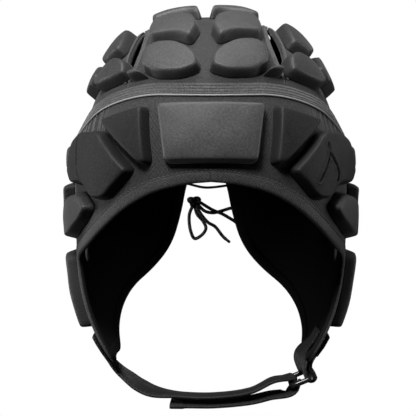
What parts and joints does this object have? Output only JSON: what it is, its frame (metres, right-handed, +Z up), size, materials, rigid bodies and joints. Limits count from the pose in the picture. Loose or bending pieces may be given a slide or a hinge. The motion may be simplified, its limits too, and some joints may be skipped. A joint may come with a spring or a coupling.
{
  "type": "rugby scrum cap",
  "caption": "Soft padded head guard with raised foam pads on stretch fabric, side vents, ear flaps, a laced back and a chin strap through a plastic loop.",
  "frame": {"origin": "inside the top of the crown, at its middle, where the head carries the cap", "axes": "+Z up, -Y out of the face opening, +X towards the wearer's left"},
  "size_m": [0.193, 0.2172, 0.26],
  "materials": {
    "shell_fabric": "matt black stretch knit",
    "pad_fabric": "matt black fine diagonal mesh over foam",
    "trim_tape": "woven tape with stitching",
    "webbing": "woven webbing with hook and loop tape",
    "loop_plastic": "moulded, smooth",
    "cord": "braided round cord"
  },
  "bodies": {
    "root": {"crown_panel": "shell_fabric", "side_panel_left": "shell_fabric", "side_panel_right": "shell_fabric", "lower_shell": "shell_fabric", "headband": "trim_tape", "edge_binding": "trim_tape", "pad_forehead": "pad_fabric", "pad_rear_centre": "pad_fabric", "pad_wedge_left": "pad_fabric", "pad_temple_left": "pad_fabric", "pad_side_left": "pad_fabric", "pad_over_ear_front_left": "pad_fabric", "pad_over_ear_rear_left": "pad_fabric", "pad_occiput_left": "pad_fabric", "pad_ear_top_left": "pad_fabric", "pad_cheek_left": "pad_fabric", "pad_ear_rear_left": "pad_fabric", "pad_nape_left": "pad_fabric", "pad_upper_front_left": "pad_fabric", "pad_upper_top_front_left": "pad_fabric", "pad_upper_middle_front_left": "pad_fabric", "pad_upper_top_rear_left": "pad_fabric", "pad_upper_middle_rear_left": "pad_fabric", "pad_upper_rear_left": "pad_fabric", "pad_crown_nub_left": "pad_fabric", "pad_crown_1_left": "pad_fabric", "pad_crown_2_left": "pad_fabric", "pad_crown_3_left": "pad_fabric", "pad_crown_4_left": "pad_fabric", "pad_crown_5_left": "pad_fabric", "pad_wedge_right": "pad_fabric", "pad_temple_right": "pad_fabric", "pad_side_right": "pad_fabric", "pad_over_ear_front_right": "pad_fabric", "pad_over_ear_rear_right": "pad_fabric", "pad_occiput_right": "pad_fabric", "pad_ear_top_right": "pad_fabric", "pad_cheek_right": "pad_fabric", "pad_ear_rear_right": "pad_fabric", "pad_nape_right": "pad_fabric", "pad_upper_front_right": "pad_fabric", "pad_upper_top_front_right": "pad_fabric", "pad_upper_middle_front_right": "pad_fabric", "pad_upper_top_rear_right": "pad_fabric", "pad_upper_middle_rear_right": "pad_fabric", "pad_upper_rear_right": "pad_fabric", "pad_crown_nub_right": "pad_fabric", "pad_crown_1_right": "pad_fabric", "pad_crown_2_right": "pad_fabric", "pad_crown_3_right": "pad_fabric", "pad_crown_4_right": "pad_fabric", "pad_crown_5_right": "pad_fabric", "chin_strap": "webbing", "buckle_loop": "loop_plastic", "buckle_tab": "webbing", "lace_upper": "cord", "lace_knot": "cord", "lace_crossing": "cord", "lace_bow": "cord", "lace_end": "cord"}
  },
  "joints": []
}
